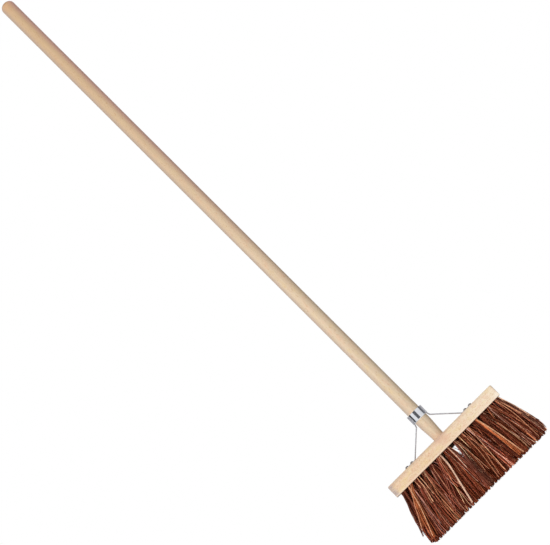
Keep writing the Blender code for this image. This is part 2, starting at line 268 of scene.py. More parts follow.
class Tree:
    """A node tree with short ways to add and link nodes."""

    def __init__(self, tree):
        self.tree = tree

    def node(self, kind, inputs=None, **settings):
        """A new node, with its inputs linked or set."""
        node = self.tree.nodes.new(kind)
        for name, value in settings.items():
            setattr(node, name, value)
        return self.fill(node, inputs or {})

    def fill(self, node, inputs):
        """Links outputs to a node's inputs, or sets these to plain values."""
        for name, value in inputs.items():
            if isinstance(value, bpy.types.NodeSocket):
                self.tree.links.new(value, node.inputs[name])
            else:
                node.inputs[name].default_value = value
        return node

    def math(self, operation, *values, clamp=False):
        inputs = dict(enumerate(values))
        return self.node("ShaderNodeMath", inputs, operation=operation, use_clamp=clamp).outputs[0]

    def scaled(self, vector, scale, move=(0.0, 0.0, 0.0)):
        inputs = {"Vector": vector, "Scale": scale, "Location": move}
        return self.node("ShaderNodeMapping", inputs).outputs[0]

    def noise(self, vector, scale, detail=4.0, roughness=0.55, distortion=0.0, move=(0, 0, 0)):
        inputs = {"Vector": self.scaled(vector, scale, move), "Scale": 1.0, "Detail": detail}
        inputs |= {"Roughness": roughness, "Distortion": distortion}
        return self.node("ShaderNodeTexNoise", inputs).outputs["Fac"]

    def ramp(self, factor, *stops):
        """A grey ramp of (place, value) stops."""
        node = self.node("ShaderNodeValToRGB", {"Fac": factor})
        for element, (place, value) in zip(node.color_ramp.elements, stops):
            element.position = place
            element.color = (value, value, value, 1.0)
        return node.outputs["Color"]

    def span(self, value, low, high):
        """How far a value has come from low to high, from 0 to 1."""
        inputs = {"Value": value, "From Min": low, "From Max": high}
        node = self.node("ShaderNodeMapRange", inputs, interpolation_type="SMOOTHSTEP")
        return node.outputs["Result"]

    def blend(self, factor, first, second):
        """The second colour over the first one, by the factor."""
        first, second = (
            (*linear(value), 1.0) if isinstance(value, tuple) else value
            for value in (first, second)
        )
        inputs = {0: factor, 6: first, 7: second}
        return self.node("ShaderNodeMix", inputs, data_type="RGBA").outputs[2]

    def tinted(self, colour, *layers):
        """The colour with tones over it, each by an amount times its factors."""
        for tone, amount, *factors in layers:
            for factor in factors:
                amount = self.math("MULTIPLY", factor, amount)
            colour = self.blend(amount, colour, tone)
        return colour

    def place(self):
        """The place on the piece, as a vector and as its three parts."""
        where = self.node("ShaderNodeTexCoord").outputs["Object"]
        return where, self.node("ShaderNodeSeparateXYZ", {0: where}).outputs


def new_material(name):
    material = bpy.data.materials.new(name)
    material.use_nodes = True
    return Tree(material.node_tree), material


def seen_rays(t):
    """1 for the rays that should meet the white background: camera, glossy and transmission."""
    path = t.node("ShaderNodeLightPath")
    seen = t.math("MAXIMUM", path.outputs["Is Camera Ray"], path.outputs["Is Glossy Ray"])
    return t.math("MAXIMUM", seen, path.outputs["Is Transmission Ray"])


def make_world():
    world = bpy.data.worlds.new("studio")
    world.use_nodes = True
    t = Tree(world.node_tree)
    t.tree.nodes.clear()
    plain, white = (
        t.node("ShaderNodeBackground", {"Color": WHITE, "Strength": strength}).outputs[0]
        for strength in (AMBIENT, 1.0)
    )
    mix = t.node("ShaderNodeMixShader", {0: seen_rays(t), 1: plain, 2: white})
    t.node("ShaderNodeOutputWorld", {"Surface": mix.outputs[0]})
    bpy.context.scene.world = world


def make_key():
    """One broad, soft lamp in front and to the left."""
    data = bpy.data.lights.new("key", "SUN")
    data.energy = KEY_STRENGTH
    data.angle = KEY_ANGLE
    data.color = KEY_COLOUR
    key = new_object("key", data)
    towards = direction(math.pi - KEY_AZIMUTH, KEY_HEIGHT)
    key.rotation_euler = towards.to_track_quat("Z", "Y").to_euler()
    key.visible_glossy = False


def stage_object(name, points, faces):
    """A piece of the set, with an empty material. Returns it and the material's tree."""
    mesh = bpy.data.meshes.new(name)
    mesh.from_pydata(points, [], faces)
    t, material = new_material(name)
    t.tree.nodes.clear()
    mesh.materials.append(material)
    obj = new_object(name, mesh)
    return obj, t


def make_floor():
    """A pale floor that shows white where it is lit and keeps the object's shadow."""
    ways = ((-1, -1), (1, -1), (1, 1), (-1, 1))
    corners = [(x * FLOOR_HALF, y * FLOOR_HALF, 0) for x, y in ways]
    _, t = stage_object("floor", corners, [range(4)])
    lit = t.node("ShaderNodeBsdfDiffuse", {"Color": FLOOR_GREY})
    strength = t.math("MULTIPLY", seen_rays(t), FLOOR_GLOW)
    glow = t.node("ShaderNodeEmission", {"Strength": strength})
    both = t.node("ShaderNodeAddShader", {0: lit.outputs[0], 1: glow.outputs[0]})
    t.node("ShaderNodeOutputMaterial", {"Surface": both.outputs[0]})


def make_cards():
    for number, (start, end, level) in enumerate(CARDS, 1):
        angles = np.radians(np.linspace(start, end, CARD_STEPS + 1))
        around = [(CARD_RADIUS * math.sin(a), -CARD_RADIUS * math.cos(a)) for a in angles]
        points = [(x, y, z) for x, y in around for z in CARD_LEVELS]
        faces = [(k, k + 2, k + 3, k + 1) for k in range(0, 2 * CARD_STEPS, 2)]
        card, t = stage_object(f"card_{number}", points, faces)
        dark = t.node("ShaderNodeEmission", {"Color": (level, level, level * CARD_BLUE, 1.0)})
        t.node("ShaderNodeOutputMaterial", {"Surface": dark.outputs[0]})
        card.visible_camera = card.visible_diffuse = card.visible_shadow = False
        card.visible_transmission = False


# Materials


def set_shader(t, colour, rough, relief, specular=0.5, metallic=0.0):
    """Gives the shader its colour, its roughness and its relief, as height, strength and depth."""
    bump = t.node("ShaderNodeBump", dict(zip(("Height", "Strength", "Distance"), relief)))
    inputs = {"Base Color": colour, "Roughness": rough, "Normal": bump.outputs["Normal"]}
    inputs |= {"Specular IOR Level": specular, "Metallic": metallic}
    t.fill(t.tree.nodes["Principled BSDF"], inputs)


def grained(t, where, along, tones):
    """Long grain, fine pores and short flecks along an axis, as a colour and a height."""
    light, middle, dark, fleck = tones

    def stretched(across, lengthwise, move=0.0, **settings):
        scale = [across] * 3
        scale[along] = lengthwise
        return t.noise(where, scale, move=(move, move, move), **settings)

    broad = stretched(60, 2.2, detail=3, distortion=0.6)
    fine = stretched(420, 14, 3.1, detail=5, roughness=0.65)
    pores = stretched(1500, 90, 7.7, detail=2)
    flecks = stretched(560, 190, 1.3, detail=1)
    colour = t.tinted(
        light,
        (middle, t.ramp(broad, (0.36, 0.0), (0.66, 1.0))),
        (dark, t.ramp(fine, (0.45, 0.0), (0.78, 0.5))),
        (fleck, t.ramp(flecks, (0.60, 0.0), (0.72, 0.6))),
        (dark, t.ramp(pores, (0.56, 0.0), (0.75, 0.30))),
    )
    height = t.math("ADD", t.math("MULTIPLY", fine, 0.6), t.math("MULTIPLY", pores, 0.4))
    return colour, height


def end_grain(t, where, plane, centre, tone, colour, amount):
    """Growth rings and pores on the ends, over the long grain's colour."""
    scale = [1.0] * 3
    scale[plane] = 0.0
    flat = t.scaled(where, scale, [-c for c in centre])
    inputs = {"Vector": flat, "Scale": 90, "Distortion": 2.5, "Detail": 3, "Detail Scale": 2}
    wave = {"wave_type": "RINGS", "rings_direction": "SPHERICAL"}
    rings = t.node("ShaderNodeTexWave", inputs, **wave).outputs["Fac"]
    dots = t.noise(where, (1900, 1900, 1900), detail=2)
    lines = t.math("MULTIPLY", t.ramp(rings, (0.3, 0.25), (0.9, 0.75)), amount)
    dark = t.math("ADD", lines, t.ramp(dots, (0.5, 0.0), (0.7, 0.35)), clamp=True)
    normal = t.node("ShaderNodeNewGeometry").outputs["Normal"]
    facing = t.math("ABSOLUTE", t.node("ShaderNodeSeparateXYZ", {0: normal}).outputs[plane])
    squarely = t.ramp(facing, (0.62, 0.0), (0.92, 1.0))
    return t.tinted(colour, (tone, dark, squarely))


def handle_wood():
    t, material = new_material("handle_wood")
    where, (x, _, z) = t.place()
    pale = ((233, 213, 186), (224, 203, 176), (207, 182, 151), (202, 167, 128))
    tan = ((211, 179, 143), (206, 174, 138), (196, 162, 125), (195, 154, 113))
    low, height = grained(t, where, 2, pale)
    high, _ = grained(t, where, 2, tan)
    colour = t.blend(t.span(z, COLLAR_HIGH.z, HANDLE_HIGH.z + 0.1), low, high)
    upper = t.span(z, *UPPER_HANDLE)
    blotches = t.noise(where, (90, 90, 45), detail=2)
    amount = t.math("SUBTRACT", 0.30, t.math("MULTIPLY", upper, 0.20))
    head = t.span(z, HANDLE_HIGH.z - 0.030, HANDLE_HIGH.z - 0.004)
    right = t.span(x, 0.15 * HANDLE_RADIUS, 0.90 * HANDLE_RADIUS)
    left = t.span(x, -0.3 * HANDLE_RADIUS, -HANDLE_RADIUS)
    colour = t.tinted(
        colour,
        # Reddish and yellowish blotches, which are fainter higher up
        ((238, 184, 150), amount, t.ramp(blotches, (0.50, 0.0), (0.72, 1.0))),
        ((232, 200, 140), amount, t.ramp(blotches, (0.28, 1.0), (0.50, 0.0))),
        # Warmer towards the domed end, with painted rosy shade down the right side higher up, and
        # painted grey shade down the left side
        ((216, 164, 124), 0.45, head),
        ((226, 174, 165), 0.7, right, upper),
        ((186, 170, 164), 0.5, left),
    )
    colour = end_grain(t, where, 2, (0.003, -0.002, 0.0), (150, 108, 74), colour, 0.9)
    colour = t.tinted(
        colour,
        # A soft reddish tone where the handle enters the block
        ((216, 172, 144), 0.3, t.span(z, TOP + 0.012, TOP)),
        # The cut end under the block is painted dark, as painted shade of its recess among the
        # tufts
        ((62, 38, 26), 0.88, t.span(z, UNDERSIDE + 0.001, UNDERSIDE)),
    )
    rough = t.ramp(height, (0.3, 0.60), (0.7, 0.48))
    set_shader(t, colour, rough, (height, 0.22, 0.0004), specular=0.15)
    return material


def block_wood():
    t, material = new_material("block_wood")
    where, (x, _, z) = t.place()
    warm = ((245, 219, 189), (238, 209, 176), (224, 188, 150), (216, 168, 126))
    pale = ((252, 238, 215), (247, 229, 203), (236, 210, 178), (226, 191, 153))
    left, height = grained(t, where, 0, warm)
    right, _ = grained(t, where, 0, pale)
    colour = t.blend(t.span(x, -0.05, 0.13), left, right)
    specks = t.noise(where, (380, 380, 380), detail=3, roughness=0.7)
    blotches = t.noise(where, (55, 110, 110), detail=3)
    wide, deep = HOLE_PATCH_REACH
    spot = t.scaled(where, (1 / wide, 0.0, 1 / deep), (0.0, 0.0, -TOP / deep))
    away = t.node("ShaderNodeVectorMath", {0: spot}, operation="LENGTH").outputs["Value"]
    patchy = t.ramp(t.noise(where, (160, 160, 160)), (0.3, 0.5), (0.6, 1.0))
    worn = t.ramp(t.noise(where, (90, 300, 300), detail=4), (0.35, 0.3), (0.6, 1.0))
    high = t.math("MULTIPLY", t.span(z, TOP - 0.0080, TOP - 0.0010), t.span(x, 0.30, -0.12))
    end = t.span(x, BLOCK_LOW.x + 0.013, BLOCK_LOW.x + 0.003)
    corner = t.span(z, UNDERSIDE + 0.014, UNDERSIDE + 0.004)
    colour = t.tinted(
        colour,
        # Small dark and pale specks, and broader reddish and yellowish blotches
        ((208, 160, 124), t.ramp(specks, (0.54, 0.0), (0.70, 0.60))),
        ((255, 238, 216), t.ramp(specks, (0.28, 0.55), (0.44, 0.0))),
        ((240, 190, 160), t.ramp(blotches, (0.48, 0.0), (0.70, 0.40))),
        ((242, 216, 158), t.ramp(blotches, (0.30, 0.45), (0.50, 0.0))),
        # A soft reddish patch round the handle's hole, over the top edge of the face
        ((230, 191, 164), patchy, t.ramp(away, (0.55, 0.9), (1.0, 0.0))),
        # Greyish wear and painted shade along the top edges and, most of all, at the left end
        ((172, 148, 136), 0.52, high, worn),
        ((180, 166, 166), 0.95, end, worn),
        # Paler along the lower edge, a painted highlight, and paler still at its right end
        ((255, 232, 212), 0.45, t.span(z, UNDERSIDE + 0.0055, UNDERSIDE + 0.0015)),
        ((255, 246, 230), 0.6, corner, t.span(x, 0.122, 0.132)),
    )
    colour = end_grain(t, where, 0, (0.0, 0.03, 0.20), (186, 150, 116), colour, 0.8)
    rough = t.ramp(height, (0.3, 0.70), (0.7, 0.58))
    set_shader(t, colour, rough, (height, 0.3, 0.0004), specular=0.12)
    return material


def fibre_material():
    t, material = new_material("plant_fibre")
    own = t.node("ShaderNodeAttribute", attribute_name="fibre_colour").outputs["Color"]
    where, _ = t.place()
    lengthwise = t.noise(where, (800, 800, 40), detail=3, roughness=0.6)
    specks = t.noise(where, (2600, 2600, 420), detail=2)
    painted_gap_shade = t.noise(where, (1300, 1300, 210), detail=2)
    colour = t.tinted(
        own,
        ((54, 20, 10), t.ramp(lengthwise, (0.40, 0.0), (0.70, 0.5))),
        ((226, 160, 120), t.ramp(specks, (0.58, 0.0), (0.75, 0.35))),
        # Painted shade: near-black patches along the fibres that stand for the dark gaps between
        # them
        ((50, 15, 4), t.ramp(painted_gap_shade, (0.54, 0.0), (0.66, 0.5))),
    )
    rough = t.ramp(lengthwise, (0.3, 0.50), (0.7, 0.68))
    set_shader(t, colour, rough, (lengthwise, 0.4, 0.0003), specular=0.07)
    return material


def metal(name, bright, dull, roughness, scale, relief, crimped=False):
    t, material = new_material(name)
    where, (x, _, _) = t.place()
    cloud = t.noise(where, scale, detail=3)
    scratches = t.noise(where, (scale[0] * 9, scale[1] * 9, scale[2] * 2), detail=2)
    colour = t.blend(t.ramp(cloud, (0.35, 0.0), (0.7, 1.0)), bright, dull)
    low, high = roughness
    rough = t.ramp(cloud, (0.35, low), (0.7, high))
    if crimped:
        # The sheet is scuffed where the tool pressed it round the wires
        scuff = t.span(t.math("ABSOLUTE", x), *SCUFF_X)
        colour = t.blend(scuff, colour, (204, 204, 210))
        rough = t.math("ADD", rough, t.math("MULTIPLY", scuff, 0.4))
    set_shader(t, colour, rough, (scratches, relief, 0.0002), metallic=1.0)
    return material


# Shapes


def place(name, mesh, material, slot, node):
    """A piece of the object that stands for a CAD node and takes its material, hiding the node."""
    mesh.materials.append(material)
    piece = new_object(name, mesh)
    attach(piece, "root")
    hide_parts(node)
    return piece


def shade(mesh, sharp=40.0):
    mesh.shade_smooth()
    mesh.set_sharp_from_angle(angle=math.radians(sharp))
    return mesh


class Tubes:
    """Collects closed tubes, and makes one mesh of them, with a strip of the map for each."""

    def __init__(self):
        self.points, self.faces, self.colours, self.maps = [], [], [], []
        self.used = 0

    def add(self, rings, colours=None):
        """A tube through rings of points, closed at both ends by flat faces."""
        steps, sides = rings.shape[:2]
        numbers = self.used + np.arange(steps * sides).reshape(steps, sides)
        near, far = numbers[:-1], numbers[1:]
        squares = np.stack([near, np.roll(near, -1, 1), np.roll(far, -1, 1), far], -1)
        self.faces += squares.reshape(-1, 4).tolist()
        self.faces += [numbers[0, ::-1].tolist(), numbers[-1].tolist()]
        self.points.append(rings.reshape(-1, 3))
        self.used += steps * sides
        if colours is not None:
            self.colours.append(np.repeat(colours, sides, 0))

        # On its strip of the map, the side fills the middle and the two ends lie below and above
        along = np.linalg.norm(np.diff(rings[:, 0], axis=0), axis=-1)
        along = 0.05 + 0.9 * np.concatenate([[0.0], np.cumsum(along)]) / along.sum()
        grid = np.stack(np.meshgrid(0.1 + 0.8 * np.arange(sides + 1) / sides, along), -1)
        corners = grid[:-1, :-1], grid[:-1, 1:], grid[1:, 1:], grid[1:, :-1]
        strip = np.stack(corners, 2).reshape(-1, 2)
        angle = np.arange(sides) / sides * math.tau
        caps = [
            np.stack([0.5 + 0.35 * np.cos(angle), v + 0.012 * np.sin(angle)], -1)
            for v in (0.02, 0.98)
        ]
        self.maps.append(np.concatenate([strip, *caps]))

    def mesh(self, name):
        mesh = bpy.data.meshes.new(name)
        points = np.concatenate(self.points)
        mesh.from_pydata(points.tolist(), [], self.faces)
        if self.colours:
            layer = mesh.color_attributes.new("fibre_colour", "FLOAT_COLOR", "POINT")
            values = np.ones((len(points), 4), np.float32)
            values[:, :3] = np.concatenate(self.colours)
            layer.data.foreach_set("color", values.ravel())
        count = len(self.maps)
        strips = [(part + (n, 0)) / (count, 1) for n, part in enumerate(self.maps)]
        layer = mesh.uv_layers.new(name="OFBake")
        layer.data.foreach_set("uv", np.concatenate(strips).astype(np.float32).ravel())
        return shade(mesh)


def tube_mesh(name, rings):
    tubes = Tubes()
    tubes.add(rings)
    return tubes.mesh(name)


def place_tube(name, rings, *finish):
    place(name, tube_mesh(name, rings), *finish)


def turned_rings(profile, sides, uneven=None):
    """Rings about Z, from (radius, z) pairs."""
    angles = np.arange(sides) / sides * math.tau
    rings = []
    for radius, z in profile:
        radii = [radius + (uneven(a, z) if uneven else 0.0) for a in angles]
        rings.append([(r * math.cos(a), r * math.sin(a), z) for r, a in zip(radii, angles)])
    return np.array(rings)


def wire_rings(path, across, radius):
    """Rings round a path that lies in a plane, whose normal is across. Its cut ends are eased."""
    path = [Vector(point) for point in path]
    across = Vector(across).normalized()
    ways = [(b - a).normalized() for a, b in zip([path[0], *path], [*path[1:], path[-1]])]
    first, last = path[0], path[-1]
    ease = radius * END_EASE
    radii = [radius - ease, *[radius] * len(path), radius - ease]
    path[:1] = [first, first + ways[0] * ease]
    path[-1:] = [last - ways[-1] * ease, last]
    rings = []
    for point, along, size in zip(path, [ways[0], *ways, ways[-1]], radii):
        beside = along.cross(across)
        angles = (n / WIRE_SIDES * math.tau for n in range(WIRE_SIDES))
        rings.append(
            [point + (across * math.cos(a) + beside * math.sin(a)) * size for a in angles]
        )
    return np.array(rings)


def mesh_of_bmesh(name, bm):
    bmesh.ops.recalc_face_normals(bm, faces=bm.faces)
    mesh = bpy.data.meshes.new(name)
    bm.to_mesh(mesh)
    bm.free()
    return mesh


def cut(mesh, *cutters):
    """The mesh with the cutter meshes taken away from it."""
    body = new_object(mesh.name, mesh)
    helpers = [new_object(cutter.name, cutter) for cutter in cutters]
    for helper in helpers:
        modifier = body.modifiers.new(helper.name, "BOOLEAN")
        modifier.operation, modifier.solver = "DIFFERENCE", "EXACT"
        modifier.object = helper
    depsgraph = bpy.context.evaluated_depsgraph_get()
    result = bpy.data.meshes.new_from_object(body.evaluated_get(depsgraph))
    for obj in [body, *helpers]:
        bpy.data.objects.remove(obj)
    return result


def node_points(node):
    data = NODES[node].data
    points = np.empty(len(data.vertices) * 3, np.float32)
    data.vertices.foreach_get("co", points)
    return points.reshape(-1, 3)


def add_bore(bm, spot, low, high, radius, sides, top_radius=None):
    """An upright hole between two levels, with clearance round what it holds."""
    bmesh.ops.create_cone(
        bm,
        cap_ends=True,
        segments=sides,
        radius1=radius + CLEARANCE,
        radius2=(top_radius or radius) + CLEARANCE,
        depth=high - low,
        matrix=Matrix.Translation((*spot, (low + high) / 2)),
    )


# The handle


def seat_radius_at(z):
    share = (z - HANDLE_LOW.z) / (TOP - HANDLE_LOW.z)
    return END_RADIUS + (SEAT_RADIUS - END_RADIUS) * share


def handle_profile():
    """From the dome at the top down to the chamfered end under the block."""
    profile = [
        (HANDLE_RADIUS * math.sin(a), HANDLE_HIGH.z - DOME_HEIGHT * (1 - math.cos(a)))
        for a in np.linspace(0.04, 1.0, DOME_RINGS) * math.pi / 2
    ]
    shoulder = TOP + SHOULDER_LENGTH
    stick = HANDLE_HIGH.z - DOME_HEIGHT - shoulder
    for share in np.linspace(0.0, 1.0, int(stick / HANDLE_STEP))[1:]:
        profile.append((HANDLE_RADIUS, shoulder + stick * (1 - share)))
    for share in np.linspace(1.0, 0.0, SHOULDER_RINGS)[1:]:
        radius = SEAT_RADIUS + (HANDLE_RADIUS - SEAT_RADIUS) * smooth_step(share)
        profile.append((radius, TOP + SHOULDER_LENGTH * share))
    chamfer = HANDLE_LOW.z + END_CHAMFER
    profile += [(seat_radius_at(z), z) for z in np.linspace(TOP, chamfer, SEAT_RINGS)[1:]]
    end = (END_RADIUS - END_CHAMFER, END_RADIUS * 0.3)
    return profile + [(radius, HANDLE_LOW.z) for radius in end]


def handle_unevenness(angle, z):
    """Slight flats and waves of the turned stick, only ever inwards and not in its seats."""
    free = smooth_step(min(max((z - COLLAR_HIGH.z) / TURNING_START, 0.0), 1.0))
    where = Vector((math.cos(angle) * 1.4, math.sin(angle) * 1.4, z * 9.0))
    return -TURNING_DEPTH * free * (0.5 + 0.5 * noise.noise(where))


def make_handle(material):
    rings = turned_rings(handle_profile()[::-1], HANDLE_SIDES, handle_unevenness)
    place_tube("turned_handle", rings, material, "handle_wood", "handle")


# The block


def grid_lines(low, high):
    """Even lines along an edge, and closer ones over its arrises."""
    near = BLOCK_ARRIS * np.linspace(0.0, 0.75, 4)
    middle = np.linspace(low + BLOCK_ARRIS, high - BLOCK_ARRIS, int((high - low) / BLOCK_STEP))
    return [*(low + near), *middle, *(high - near[::-1])]


def arris_at(point):
    """The radius that wear has given the arris at a point."""
    where = Vector((point.x * 70, point.y * 40 + 5.0, point.z * 40))
    corner = math.exp(-(((BLOCK_HIGH.x - abs(point.x)) / WEAR_REACH) ** 2))
    worn = BLOCK_ARRIS * 0.8 + WEAR * (0.5 + 0.5 * noise.noise(where)) + WEAR * corner * 0.6
    return worn * (1.0 if point.z > (TOP + UNDERSIDE) / 2 else SHARP_FOOT)


def rounded(point):
    """A point of the plain bar, moved onto its worn arris."""
    radius = arris_at(point)
    inner = Vector(
        min(max(p, low + radius), high - radius)
        for p, low, high in zip(point, BLOCK_LOW, BLOCK_HIGH)
    )
    away = point - inner
    return inner + away.normalized() * radius if away.length else point


def bar_mesh():
    lines = [grid_lines(low, high) for low, high in zip(BLOCK_LOW, BLOCK_HIGH)]
    last = [len(line) - 1 for line in lines]
    bm = bmesh.new()
    corners = {}

    def corner(index):
        if index not in corners:
            point = Vector(line[k] for line, k in zip(lines, index))
            corners[index] = bm.verts.new(rounded(point))
        return corners[index]

    for axis in range(3):
        one, two = (axis + 1) % 3, (axis + 2) % 3
        for end in (0, last[axis]):
            for a in range(last[one]):
                for b in range(last[two]):
                    square = []
                    for da, db in ((0, 0), (1, 0), (1, 1), (0, 1)):
                        index = [end] * 3
                        index[one], index[two] = a + da, b + db
                        square.append(corner(tuple(index)))
                    bm.faces.new(square)
    return mesh_of_bmesh("bored_block", bm)


def tuft_root(node):
    """A tuft's root: its middle and its radius."""
    points = node_points(node)
    root = points[points[:, 2] > UNDERSIDE + OVERCUT]
    low, high = root.min(0), root.max(0)
    return (low[:2] + high[:2]) / 2, (high[0] - low[0]) / 2


def bores_mesh():
    bm = bmesh.new()
    below, above = UNDERSIDE - OVERCUT, TOP + OVERCUT
    for node in TUFTS:
        middle, radius = tuft_root(node)
        add_bore(bm, middle, below, UNDERSIDE + BORE_DEPTH, radius, BORE_SIDES)
    end, head = seat_radius_at(below), seat_radius_at(above)
    add_bore(bm, (0, 0), below, above, end, HANDLE_SIDES, head)
    for node in STAPLE_SKEW:
        x, arch, lean, radius, _, foot = staple_frame(node)
        for way in (-1, 1):
            spot = (x + way * lean, way * arch)
            add_bore(bm, spot, foot - CLEARANCE, above, radius, BORE_SIDES // 2)
    return mesh_of_bmesh("bores", bm)


def groove_mesh(node):
    path, radius = stay_path(node)
    path[-1].x += math.copysign(CLEARANCE, path[-1].x)
    mesh = tube_mesh(f"groove_{node}", wire_rings(path, (0, 1, 0), radius + CLEARANCE))
    bm = bmesh.new()
    bm.from_mesh(mesh)
    return mesh_of_bmesh(mesh.name, bm)


def make_block(material):
    grooves = [groove_mesh(node) for node in ("stay_left", "stay_right")]
    mesh = shade(cut(bar_mesh(), bores_mesh(), *grooves), 35.0)
    place("bored_block", mesh, material, "block_wood", "block")


# The collar and its screw


def collar_radius_at(angle):
    """The middle of the sheet, by the angle from the back round to the back again. It swells over
    a wire at each side, and its last stretch rises to lap over its first."""
    swelling = COLLAR_HIGH.x - SHEET / 2 - SHEET_RADIUS
    radius = SHEET_RADIUS
    for ear in (math.pi / 2, 3 * math.pi / 2):
        radius += swelling * math.exp(-(((angle - ear) / EAR_WIDTH) ** 2))
    lap = LAP_LENGTH / SHEET_RADIUS
    share = (angle - (math.tau - 1.5 * lap)) / lap
    return radius + (SHEET + CLEARANCE) * smooth_step(min(max(share, 0.0), 1.0))


def collar_section():
    """The sheet's cross-section as (out, z) pairs: up its inner face and down its outer one."""
    edge = SHEET / 2
    rows = np.linspace(COLLAR_LOW.z + edge, COLLAR_HIGH.z - edge, COLLAR_ROWS)
    up = [(-edge, z) for z in rows]
    up += [(-edge * math.cos(a), rows[-1] + edge * math.sin(a)) for a in (0.8, math.pi - 0.8)]
    return up + [(-out, rows[0] + rows[-1] - z) for out, z in up]


def make_collar(material):
    half_lap = LAP_LENGTH / SHEET_RADIUS / 2
    section = collar_section()
    rings = []
    for angle in np.linspace(-half_lap, math.tau + half_lap, COLLAR_STEPS):
        radius = collar_radius_at(angle)
        ring = []
        for out, z in section:
            where = Vector((math.sin(angle) * 2.6, math.cos(angle) * 2.6, z * 110))
            r = radius + out + DENT * noise.noise(where) * (0.3 if out < 0 else 1.0)
            ring.append((-r * math.sin(angle), r * math.cos(angle), z))
        rings.append(ring)
    place_tube("zinc_collar", np.array(rings), material, "zinc_sheet", "collar")


def make_screw(material):
    """A slotted round head at the back, on its shank."""
    low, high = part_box("collar_screw")
    radius, level = (high.x - low.x) / 2, (low.z + high.z) / 2
    seat = high.y - SCREW_HEAD
    profile = [
        (radius * math.sin(a), seat + SCREW_HEAD * math.cos(a))
        for a in np.linspace(0.1, math.pi / 2, 8)
    ]
    shank = ((1.0, seat), (1.0, low.y + SCREW_POINT), (0.15, low.y))
    profile += [(SCREW_RADIUS * share, y) for share, y in shank]
    rings = turned_rings(profile[::-1], SCREW_SIDES)[..., (0, 2, 1)] + (0.0, 0.0, level)
    bm = bmesh.new()
    slot = Matrix.Diagonal((radius * 3, SCREW_HEAD, SLOT_WIDTH, 1.0))
    slot = Matrix.Translation((0.0, high.y, level)) @ slot
    bmesh.ops.create_cube(bm, size=1.0, matrix=slot)
    mesh = tube_mesh("slotted_screw", rings[:, ::-1])
    mesh = shade(cut(mesh, mesh_of_bmesh("screw_slot", bm)))
    place("slotted_screw", mesh, material, "steel_wire", "collar_screw")


# The stays and the staples


def arc(before, corner, after, radius):
    """The points of an arc that takes the place of a bend."""
    back, ahead = (before - corner).normalized(), (after - corner).normalized()
    half = back.angle(ahead) / 2
    centre = corner + (back + ahead).normalized() * (radius / math.sin(half))
    start = corner + back * (radius / math.tan(half)) - centre
    end = corner + ahead * (radius / math.tan(half)) - centre
    for share in np.linspace(0.0, 1.0, BEND_STEPS):
        yield centre + start.slerp(end, share) * radius


def stay_path(node):
    """A stay's middle line, from the collar down to its foot's end, and its radius."""
    low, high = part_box(node)
    side = 1 if high.x > 0 else -1
    radius = (high.y - low.y) / 2
    wire_x = HANDLE_RADIUS + CLEARANCE + radius
    end_x = max(abs(low.x), abs(high.x))
    level = low.z + radius
    corners = [
        Vector((side * x, 0.0, z))
        for x, z in (
            (wire_x, COLLAR_HIGH.z - WIRE_TOP_INSET),
            (wire_x, COLLAR_LOW.z + WIRE_TOP_INSET),
            (wire_x + KINK_OUT, COLLAR_LOW.z - KINK_DROP),
            (FOOT_X, level),
            (end_x, level),
        )
    ]
    path = [corners[0]]
    for before, corner, after in zip(corners, corners[1:], corners[2:]):
        path += arc(before, corner, after, WIRE_BEND)
    return path + [corners[-1]], radius


def make_stay(node, material):
    path, radius = stay_path(node)
    rings = wire_rings(path, (0, 1, 0), radius)
    place_tube(node.replace("stay", "stay_wire"), rings, material, "steel_wire", node)


def staple_frame(node):
    """A staple's x, its half span, how far it stands askew there, and its wire's radius, its
    arch's level and its foot's level."""
    low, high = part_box(node)
    radius = (high.x - low.x) / 2
    arch = (high.y - low.y) / 2 - radius
    lean = arch * math.tan(math.radians(STAPLE_SKEW[node]))
    return (low.x + high.x) / 2, arch, lean, radius, high.z - radius - arch, low.z


def make_staple(node, material):
    """A staple over a stay, driven in askew to the block's grain."""
    x, arch, lean, radius, level, foot = staple_frame(node)
    path = [(x - lean, -arch, foot)]
    for angle in np.linspace(math.pi, 0.0, ARCH_STEPS):
        out, up = math.cos(angle), math.sqrt(math.sin(angle))
        path.append((x + lean * out, arch * out, level + arch * up))
    path.append((x + lean, arch, foot))
    rings = wire_rings(path, (arch, -lean, 0), radius)
    place_tube(node.replace("staple", "wire_staple"), rings, material, "steel_wire", node)


# The fibres


DOWN = np.linspace(0.0, 1.0, FIBRE_RINGS)


def fan_at(share):
    """How far a fibre has fanned out, at a share of its way down."""
    return 1 - (1 - share) ** FAN_POWER


def tip_box(node):
    points = node_points(node)
    tips = points[points[:, 2] < UNDERSIDE / 4]
    return tips[:, :2].min(0), tips[:, :2].max(0)


def pick_tone(chance):
    shares, tones = zip(*TONES)
    return np.array(linear(chance.choices(tones, shares)[0]))


def gauss_pair(chance, size):
    return np.array([chance.gauss(0, size), chance.gauss(0, size)])


def held_in(point, chance):
    """The point, or one drawn in at random where it would pass the CAD fibres' outline."""
    draw = chance.random() ** 2
    margin = EDGE_MARGIN + EDGE_SLACK * draw
    return np.clip(
        point,
        (FAR_LEFT + margin + LEFT_DRAW, NEAR_SIDE + margin + FRONT_DRAW),
        (FAR_RIGHT - EDGE_MARGIN - RIGHT_SLACK * draw, FAR_SIDE - margin),
    )


def tooth_at(point):
    """How far the tips are worn back at a place, in teeth that run along the camera's view."""
    x = (point[0] - point[1] * (point[0] - CAMERA_SIDE) / CAMERA_DISTANCE) / TOOTH_PITCH
    waves = noise.noise(Vector((x, 0.0, 0.0))) + 0.6 * noise.noise(Vector((x * 2.3, 0.0, 5.0)))
    return TOOTH_LEVEL * max(waves + TOOTH_CLEAR, 0.0)


